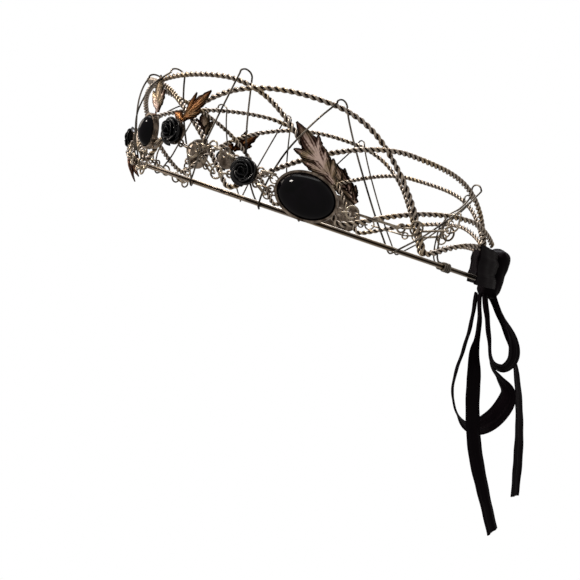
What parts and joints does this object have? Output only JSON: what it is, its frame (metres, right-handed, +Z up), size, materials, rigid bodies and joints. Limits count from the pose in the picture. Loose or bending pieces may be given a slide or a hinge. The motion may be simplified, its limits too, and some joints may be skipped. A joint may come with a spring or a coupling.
{
  "type": "circlet",
  "caption": "Circlet of woven twisted wire arches with black cabochons, black roses, cast leaves, link chains and a black satin ribbon tied at the back.",
  "frame": {"origin": "middle of the band's oval, where the head holds the circlet", "axes": "+Z up, -Y to the wearer's front, +X to the wearer's left; the band is tipped back as worn"},
  "size_m": [0.1708, 0.1943, 0.2166],
  "materials": {
    "twisted_wire": "aged silver with dark grooves",
    "band_wire": "satin",
    "lacing_wire": "satin",
    "setting_metal": "satin",
    "black_stone": "polished",
    "black_rose": "semi-gloss",
    "amber_leaf": "satin copper",
    "leaf_metal": "aged pewter",
    "chain_metal": "bright nickel",
    "satin_ribbon": "satin"
  },
  "bodies": {
    "root": {"base_band": "band_wire", "rope_centre": "twisted_wire", "rope_left": "twisted_wire", "rope_right": "twisted_wire", "lacing_left": "lacing_wire", "lacing_right": "lacing_wire", "side_setting_left": "setting_metal", "side_setting_right": "setting_metal", "side_stone_left": "black_stone", "side_stone_right": "black_stone", "front_setting_left": "setting_metal", "front_setting_right": "setting_metal", "front_stone_left": "black_stone", "front_stone_right": "black_stone", "rose_centre": "black_rose", "rose_front_left": "black_rose", "rose_front_right": "black_rose", "rose_side_left": "black_rose", "rose_side_right": "black_rose", "rose_plate_centre": "setting_metal", "rose_plate_front_left": "setting_metal", "rose_plate_front_right": "setting_metal", "rose_plate_side_left": "setting_metal", "rose_plate_side_right": "setting_metal", "side_leaf_left": "leaf_metal", "side_leaf_right": "leaf_metal", "amber_leaf_left": "amber_leaf", "amber_leaf_right": "amber_leaf", "front_leaf_left": "leaf_metal", "front_leaf_right": "leaf_metal", "centre_leaf": "leaf_metal", "chain_front_left": "chain_metal", "chain_front_right": "chain_metal", "chain_back_left": "chain_metal", "chain_back_right": "chain_metal", "ribbon_fold_left": "satin_ribbon", "ribbon_fold_right": "satin_ribbon", "ribbon_knot": "satin_ribbon", "ribbon_loop_left": "satin_ribbon", "ribbon_loop_right": "satin_ribbon", "ribbon_tail_left": "satin_ribbon", "ribbon_tail_right": "satin_ribbon"}
  },
  "joints": []
}
